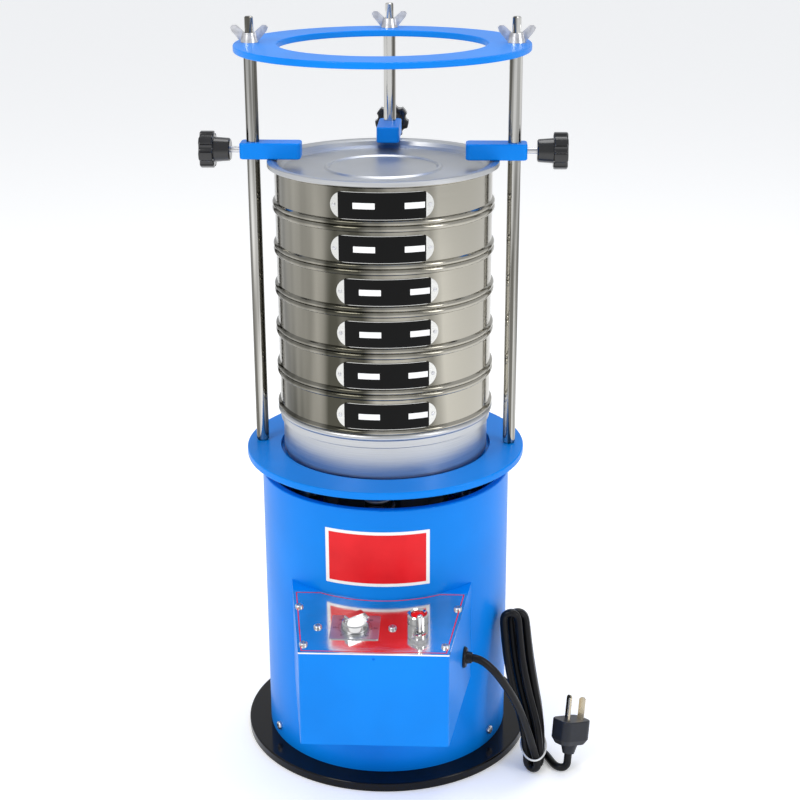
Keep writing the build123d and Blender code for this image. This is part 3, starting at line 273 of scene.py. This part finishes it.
# Nameplates: a bent metal plate on each sieve, fixed with a domed rivet at each end. It is printed with a
# black field that leaves its ends clear and with two white windows, which hold no text.
PLATE_OUT_R = 101.3
PAN_TOP_Z = 349.0
SIEVE_PITCH = 38.8
PLATE_MID_Z = 17.7
PLATE_TURNS = (2.3, 2.3, 5.0, 5.0, 4.0, 4.0)
RIVET_R = 1.7
RIVET_RISE = 0.85
RIVET_OUT = 43.4
RIVET_DOME = 0.7
FIELD_W = 79.0
FIELD_H = 23.6
FIELD_CORNER = 1.0
FIELD_LIFT = 0.08
WINDOW_H = 5.4
WINDOW_CORNER = 0.3
WINDOW_LIFT = 0.16
# Each window: how far its middle is from the plate's, and its width
WINDOWS = ((-16.0, 19.6), (29.0, 18.4))

plate_metal = new_material("plate_metal", (0.66, 0.66, 0.64), 0.3, metallic=1.0)
vary_roughness(plate_metal, add_noise(plate_metal, 150.0, (1.0, 1.0, 10.0)), 0.2, 0.4)
finish_nodes(plate_metal, "sieve_nameplates")
plate_black = new_material("plate_black", (0.003, 0.003, 0.003), 0.35, specular=0.12)
vary_roughness(plate_black, add_noise(plate_black, 120.0), 0.3, 0.42)

bpy.ops.mesh.primitive_cylinder_add(vertices=24, radius=RIVET_R * MM, depth=2 * RIVET_RISE * MM,
                                    rotation=(math.pi / 2, 0, 0))
rivet_pattern = bpy.context.object
fix_place(rivet_pattern)
only_vertices(rivet_pattern, lambda co: co.y < 0)
bpy.ops.mesh.bevel(affect="EDGES", offset=RIVET_DOME * MM, segments=4)
bpy.ops.object.mode_set(mode="OBJECT")
bpy.ops.object.shade_smooth_by_angle()


def copy_of(pattern, name):
    shape = pattern.copy()
    shape.data = pattern.data.copy()
    shape.name = name
    bpy.context.scene.collection.objects.link(shape)
    return shape


for number, turn in enumerate(PLATE_TURNS):
    mid_z = PAN_TOP_Z + (len(PLATE_TURNS) - 1 - number) * SIEVE_PITCH + PLATE_MID_Z
    field_r = PLATE_OUT_R + FIELD_LIFT
    field = bent_sheet(f"plate_field_{number + 1}", FIELD_W, FIELD_H, FIELD_CORNER, field_r, 40)
    stick_on_round(field, field_r, turn, mid_z)
    fit(field, plate_black, "table")
    for place, (offset, width) in enumerate(WINDOWS):
        window_r = PLATE_OUT_R + WINDOW_LIFT
        window = bent_sheet(f"plate_window_{number + 1}_{place + 1}", width, WINDOW_H, WINDOW_CORNER,
                            window_r, 12)
        stick_on_round(window, window_r, turn + math.degrees(offset / PLATE_OUT_R), mid_z)
        fit(window, label_white, "table")
    for side, sign in (("left", -1), ("right", 1)):
        rivet = copy_of(rivet_pattern, f"plate_rivet_{number + 1}_{side}")
        stick_on_round(rivet, PLATE_OUT_R, turn + sign * math.degrees(RIVET_OUT / PLATE_OUT_R), mid_z)
        fit(rivet, zinc, "table")
bpy.data.objects.remove(rivet_pattern)

# Clamp knobs and the timer's case: moulded in black plastic and glossy from the mould, with a faint haze.
# The knobs have a blind bore and sit on the ends of the clamp screws.
knob_black = new_material("knob_black", (0.005, 0.005, 0.006), 0.16, coat=0.3)
vary_roughness(knob_black, add_noise(knob_black, 160.0), 0.12, 0.26)
finish_nodes(knob_black, "clamp_knob_left", "clamp_knob_right", "clamp_knob_rear", "timer_body")

# Control panel: a polished steel sheet screwed on the sloping top of the control box, with a thin red line
# printed round it, close to its edge.
BOX_REACH = 213.0
PANEL_FRONT_Z = 187.0
PANEL_SLOPE = math.radians(4.5)
PANEL_HALF_W = 66.5
PANEL_SPLAY = 0.146
PANEL_REAR_V = 105.3
PANEL_ARC_R = 120.9
LINE_INSET = 2.6
LINE_W = 1.0
LINE_LIFT = 0.06
FACING_UP = 0.9

panel_steel = new_material("panel_steel", (0.8, 0.79, 0.78), 0.1, metallic=1.0)
vary_color(panel_steel, add_noise(panel_steel, 22.0), (0.68, 0.67, 0.65), (0.88, 0.87, 0.86))
vary_roughness(panel_steel, add_noise(panel_steel, 40.0, (1.0, 12.0, 1.0)), 0.07, 0.16)
finish_nodes(panel_steel, "control_panel")


def only_faces(shape, chosen):
    """Goes into edit mode with just the chosen faces selected."""
    bpy.ops.object.mode_set(mode="EDIT")
    bpy.ops.mesh.select_mode(type="FACE")
    bpy.ops.mesh.select_all(action="DESELECT")
    bpy.ops.object.mode_set(mode="OBJECT")
    for face in shape.data.polygons:
        face.select = chosen(face)
    bpy.ops.object.mode_set(mode="EDIT")


def lay_on_panel(shape, lift):
    """Lays a flat piece, drawn with the panel's front edge on the X axis, on the sloping panel."""
    shape.location = (0, (-BOX_REACH - lift * math.sin(PANEL_SLOPE)) * MM,
                      (PANEL_FRONT_Z + lift * math.cos(PANEL_SLOPE)) * MM)
    shape.rotation_euler = (PANEL_SLOPE, 0, 0)
    fix_place(shape)


line_rear_v = PANEL_REAR_V - LINE_INSET
line_front_half = PANEL_HALF_W + PANEL_SPLAY * LINE_INSET - LINE_INSET
line_rear_half = PANEL_HALF_W + PANEL_SPLAY * line_rear_v - LINE_INSET
bpy.ops.mesh.primitive_cube_add(size=1.0, location=(0, (LINE_INSET + line_rear_v) / 2 * MM, -0.5 * MM))
line = bpy.context.object
line.name = "panel_border"
line.scale = (2 * line_front_half * MM, (line_rear_v - LINE_INSET) * MM, MM)
fix_place(line)
only_vertices(line, lambda co: co.y > PANEL_REAR_V / 2 * MM)
bpy.ops.transform.resize(value=(line_rear_half / line_front_half, 1.0, 1.0), center_override=(0, 0, 0))
bpy.ops.object.mode_set(mode="OBJECT")
bpy.ops.mesh.primitive_cylinder_add(vertices=240, radius=(PANEL_ARC_R + LINE_INSET) * MM, depth=4 * MM,
                                    location=(0, BOX_REACH * MM, 0))
drum_cutter = bpy.context.object
fix_place(drum_cutter)
cut = line.modifiers.new("drum", "BOOLEAN")
cut.operation = "DIFFERENCE"
cut.object = drum_cutter
bpy.context.view_layer.objects.active = line
bpy.ops.object.modifier_apply(modifier="drum")
bpy.data.objects.remove(drum_cutter)
bpy.context.view_layer.objects.active = line
line.select_set(True)
only_faces(line, lambda face: face.normal.z > FACING_UP)
bpy.ops.mesh.dissolve_faces()
bpy.ops.mesh.inset(thickness=LINE_W * MM, depth=0.0)
bpy.ops.mesh.delete(type="FACE")
only_faces(line, lambda face: face.normal.z < FACING_UP)
bpy.ops.mesh.delete(type="FACE")
bpy.ops.object.mode_set(mode="OBJECT")
lay_on_panel(line, LINE_LIFT)
fit(line, label_red, "housing")

# Timer knob, switch and lamp holder: turned or pressed in brass, then plated with bright chrome. The knob
# sits on the timer's shaft, and nuts hold the other two in the panel.
chrome = new_material("chrome", (0.6, 0.6, 0.6), 0.07, metallic=1.0)
vary_roughness(chrome, add_noise(chrome, 50.0, (1.0, 1.0, 0.2)), 0.05, 0.12)
finish_nodes(chrome, "timer_knob", "lamp_body", "toggle_lever", "switch_body")

# Timer scale: printed in black ink on the satin plate round the knob, a line for every two minutes and a
# number for every ten, up to an hour.
TIMER_U = -19.0
TIMER_V = 42.0
SCALE_LIFT = 0.9
SCALE_START = 232.0
STEP_TURN = 9.48
LINE_IN_R = 14.2
SHORT_OUT_R = 15.6
LONG_OUT_R = 16.6
INK_W = 0.44
LINE_COUNT = 31
LINES_PER_NUMBER = 5
NUMBER_SIZE = 3.6
NUMBER_OUT_U = 18.6
NUMBER_OUT_V = 17.6

ink = new_material("dial_ink", (0.01, 0.01, 0.01), 0.5)
vary_roughness(ink, add_noise(ink, 300.0), 0.4, 0.6)
marks = []
for out_r in (LONG_OUT_R, SHORT_OUT_R):
    bpy.ops.mesh.primitive_plane_add(size=1.0, location=((LINE_IN_R + out_r) / 2 * MM, 0, 0))
    mark_pattern = bpy.context.object
    mark_pattern.scale = ((out_r - LINE_IN_R) * MM, INK_W * MM, 1.0)
    fix_place(mark_pattern)
    for step in range(LINE_COUNT):
        if (step % LINES_PER_NUMBER == 0) == (out_r == LONG_OUT_R):
            mark = copy_of(mark_pattern, f"mark_{step}")
            mark.location = (TIMER_U * MM, TIMER_V * MM, 0)
            mark.rotation_euler = (0, 0, math.radians(SCALE_START - step * STEP_TURN))
            fix_place(mark)
            marks.append(mark)
    bpy.data.objects.remove(mark_pattern)
bpy.ops.object.select_all(action="DESELECT")
for mark in marks:
    mark.select_set(True)
bpy.context.view_layer.objects.active = marks[0]
bpy.ops.object.join()
marks[0].name = "dial_ticks"
lay_on_panel(marks[0], SCALE_LIFT)
fit(marks[0], ink, "housing")

for index, number in enumerate(("0", "10", "20", "30", "40", "50", "60")):
    angle = math.radians(SCALE_START - index * LINES_PER_NUMBER * STEP_TURN)
    bpy.ops.object.text_add()
    figure = bpy.context.object
    figure.data.body = number
    figure.data.size = NUMBER_SIZE * MM
    figure.data.align_x = "CENTER"
    figure.data.align_y = "CENTER"
    bpy.ops.object.convert(target="MESH")
    figure = bpy.context.object
    figure.name = "dial_number_" + number
    figure.location = ((TIMER_U + NUMBER_OUT_U * math.cos(angle)) * MM,
                       (TIMER_V + NUMBER_OUT_V * math.sin(angle)) * MM, 0)
    fix_place(figure)
    lay_on_panel(figure, SCALE_LIFT)
    fit(figure, ink, "housing")

# Lamp lens: a cap moulded in clear red plastic, with a pebbled face to spread the light. It is pressed in
# the lamp holder.
red_glass = new_material("lens_red", (0.75, 0.008, 0.012), 0.15, coat=0.6)
add_bump(red_glass, add_noise(red_glass, 400.0, detail=0.0), 0.25, 0.0004)
finish_nodes(red_glass, "lamp_lens")

# Mains cord: round, in black rubber, still folded as it was packed. It leaves the grommet in the right wall
# of the box, hangs down to the tie, goes round the four long turns of the hank and ends in the plug.
CORD_D = 7.5
FLOOR_FOLD_Z = 3.9
# Corners of half an eight-sided ring, along its base and down from its top: the spline runs round in it
FOLD_CORNERS = ((1.0, 0.586), (0.414, 0.0), (-0.414, 0.0), (-1.0, 0.586))
LEAD = (
    (86.68, -130.16, 139.8), (93.6, -131.17, 139.8), (107.5, -132.0, 128.0), (120.5, -127.5, 106.5),
    (130.5, -120.5, 84.5), (137.5, -113.0, 61.5), (143.5, -105.5, 40.0), (147.5, -101.3, 24.0),
    (151.3, -104.6, 12.0),
)
TAIL = (
    (155.0, -71.5, 6.5), (160.5, -74.0, 3.9), (164.5, -84.0, 3.9), (168.0, -93.0, 3.9),
    (172.5, -97.8, 3.9), (177.8, -98.4, 4.3), (180.7, -96.2, 6.8), (181.05, -94.61, 10.55),
    (181.64, -92.8, 17.28),
)
# Middle of the hank at each level, and how far its strands have spread there
HANK = (
    (16.0, 148.0, -85.5, 0.0), (45.0, 145.8, -77.0, 0.4), (75.0, 138.0, -68.0, 0.8),
    (105.0, 132.0, -59.0, 1.0), (130.0, 129.0, -51.5, 1.0),
)
HANK_TOP = (127.6, -46.5)
# Each turn: depth, left and right at the tie, left and right at the belly, top
TURNS = (
    (-10.4, -6.8, 6.2, -11.0, 3.4, 149.5), (-2.8, -1.5, 7.5, -3.6, 10.8, 146.0),
    (4.8, -7.0, 6.0, -9.5, 4.5, 142.5), (12.4, -1.0, 7.0, -3.0, 11.0, 139.5),
)


def strand(depth, at_tie, at_belly):
    """Points up one strand of the hank, from the tie to its widest."""
    points = []
    for z, x, y, spread in HANK:
        points.append((x + at_tie + (at_belly - at_tie) * spread, y + depth, z))
    return points


def fold(start, end, reach_z, up):
    """Points of a half circle from one strand to the next: up is 1 over the top and -1 along the floor."""
    half = math.dist(start, end) / 2
    middle = ((start[0] + end[0]) / 2, (start[1] + end[1]) / 2)
    points = []
    for along, drop in FOLD_CORNERS:
        points.append((middle[0] + (start[0] - middle[0]) * along,
                       middle[1] + (start[1] - middle[1]) * along,
                       reach_z - up * half * drop))
    return points


x, y = HANK_TOP
floor_x, floor_y = HANK[0][1:3]
first_depth, first_left = TURNS[0][:2]
route = list(LEAD)
route += fold(LEAD[-1][:2], (floor_x + first_left, floor_y + first_depth), FLOOR_FOLD_Z, -1)
for number, (depth, left_tie, right_tie, left_belly, right_belly, top) in enumerate(TURNS):
    route += strand(depth, left_tie, left_belly)
    route += fold((x + left_belly, y + depth), (x + right_belly, y + depth), top, 1)
    route += reversed(strand(depth, right_tie, right_belly))
    if number < len(TURNS) - 1:
        next_depth, next_left = TURNS[number + 1][:2]
        route += fold((floor_x + right_tie, floor_y + depth), (floor_x + next_left, floor_y + next_depth),
                      FLOOR_FOLD_Z, -1)
route += TAIL

rubber = new_material("cord_rubber", (0.006, 0.006, 0.007), 0.3, specular=0.2)
add_bump(rubber, add_noise(rubber, 500.0), 0.08, 0.0002)
finish_nodes(rubber, "cable_grommet")
curve = bpy.data.curves.new("mains_cord", "CURVE")
curve.dimensions = "3D"
curve.bevel_depth = CORD_D / 2 * MM
curve.bevel_resolution = 5
curve.resolution_u = 10
curve.use_fill_caps = True
spline = curve.splines.new("NURBS")
spline.points.add(len(route) - 1)
for control, point in zip(spline.points, route):
    control.co = (point[0] * MM, point[1] * MM, point[2] * MM, 1.0)
spline.order_u = 3
spline.use_endpoint_u = True
curve.materials.append(rubber)
cord = bpy.data.objects.new("mains_cord", curve)
bpy.context.scene.collection.objects.link(cord)
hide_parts("cord_lead", "cord_hank", "cord_tail")
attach(cord, "housing")

# Tie: a length of white plastic-covered wire, bent into a ring round the hank near the floor. It tilts down
# to the front.
TIE_HALF_W = 12.4
TIE_HALF_DEPTH = 21.6
TIE_WIRE_R = 1.5
TIE_PLACE = (147.8, -88.2, 23.0)
TIE_TILT = (14.0, 5.0)

white_wire = new_material("tie_white", (0.75, 0.75, 0.73), 0.45)
vary_roughness(white_wire, add_noise(white_wire, 200.0), 0.35, 0.55)
bpy.ops.curve.primitive_bezier_circle_add(radius=1.0)
tie = bpy.context.object
tie.scale = (TIE_HALF_W * MM, TIE_HALF_DEPTH * MM, 1.0)
fix_place(tie)
tie.data.bevel_depth = TIE_WIRE_R * MM
tie.data.bevel_resolution = 3
bpy.ops.object.convert(target="MESH")
tie = bpy.context.object
tie.name = "tie_ring"
tie.rotation_euler = (math.radians(TIE_TILT[0]), math.radians(TIE_TILT[1]), 0)
tie.location = Vector(TIE_PLACE) * MM
fix_place(tie)
bpy.ops.object.shade_smooth()
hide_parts("cord_tie")
fit(tie, white_wire, "housing")

# Plug: moulded in charcoal plastic on the cord's end. Its pins are brass with a thin plating of nickel, so
# they look a warm grey.
charcoal = new_material("plug_plastic", (0.016, 0.018, 0.024), 0.4, specular=0.3)
add_bump(charcoal, add_noise(charcoal, 700.0), 0.15, 0.0002)
finish_nodes(charcoal, "plug_body")
pin_metal = new_material("pin_metal", (0.62, 0.55, 0.42), 0.25, metallic=1.0)
vary_roughness(pin_metal, add_noise(pin_metal, 150.0), 0.18, 0.34)
finish_nodes(pin_metal, "plug_pins")

# Studio: a plain white floor and a pale room, with a large soft lamp from the upper left, a weaker one from
# the right and one overhead.
FLOOR_SIZE = 60.0
FLOOR_GLOW = 0.22
ROOM_LIGHT = 0.7

floor_white = new_material("floor_white", (0.96, 0.96, 0.96), 0.75, specular=0.05)
floor_shader = floor_white.node_tree.nodes["Principled BSDF"]
floor_shader.inputs["Emission Color"].default_value = (1.0, 1.0, 1.0, 1.0)
floor_shader.inputs["Emission Strength"].default_value = FLOOR_GLOW
bpy.ops.mesh.primitive_plane_add(size=FLOOR_SIZE)
floor = bpy.context.object
floor.name = "studio_floor"
floor.data.materials.append(floor_white)

world = bpy.data.worlds.new("studio")
bpy.context.scene.world = world
world.use_nodes = True
background = world.node_tree.nodes["Background"]
background.inputs["Color"].default_value = (0.95, 0.97, 1.0, 1.0)
background.inputs["Strength"].default_value = ROOM_LIGHT


def area_light(name, location, target, size, power, color=(1, 1, 1)):
    data = bpy.data.lights.new(name, "AREA")
    data.shape = "RECTANGLE"
    data.size = size[0]
    data.size_y = size[1]
    data.energy = power
    data.color = color
    lamp = bpy.data.objects.new(name, data)
    bpy.context.scene.collection.objects.link(lamp)
    lamp.location = location
    lamp.rotation_euler = (Vector(target) - Vector(location)).to_track_quat("-Z", "Y").to_euler()


area_light("key", (-1.3, -1.6, 2.0), (0, 0, 0.3), (0.9, 0.9), 26.0, (1.0, 0.98, 0.95))
area_light("fill", (1.7, -1.1, 1.3), (0, 0, 0.3), (0.5, 1.4), 12.0)
area_light("top", (0.2, 0.5, 2.3), (0, 0, 0.4), (1.2, 1.2), 14.0)

# Camera: at the distance, height and turn that bring the sieve rims, rods and plates where the photograph
# has them.
IMAGE_PIXELS = 800.0
CAMERA_REACH = 1.46225
CAMERA_HEIGHT = 0.86354
AZIMUTH = 0.05637
YAW = -0.00979
PITCH = 0.3392
ROLL = -0.00427
FOCAL_PIXELS = 1602.2
SENSOR = 36.0

camera_data = bpy.data.cameras.new("camera")
camera_data.sensor_width = SENSOR
camera_data.lens = FOCAL_PIXELS * SENSOR / IMAGE_PIXELS
camera = bpy.data.objects.new("camera", camera_data)
bpy.context.scene.collection.objects.link(camera)
bpy.context.scene.camera = camera
turn = Matrix.Rotation(AZIMUTH + YAW, 3, "Z")
tilt = Matrix.Rotation(math.pi / 2 - PITCH, 3, "X")
roll = Matrix.Rotation(ROLL, 3, "Z")
camera.rotation_euler = (turn @ tilt @ roll).to_euler()
camera.location = (CAMERA_REACH * math.sin(AZIMUTH), -CAMERA_REACH * math.cos(AZIMUTH), CAMERA_HEIGHT)

bpy.context.scene.view_settings.view_transform = "Standard"
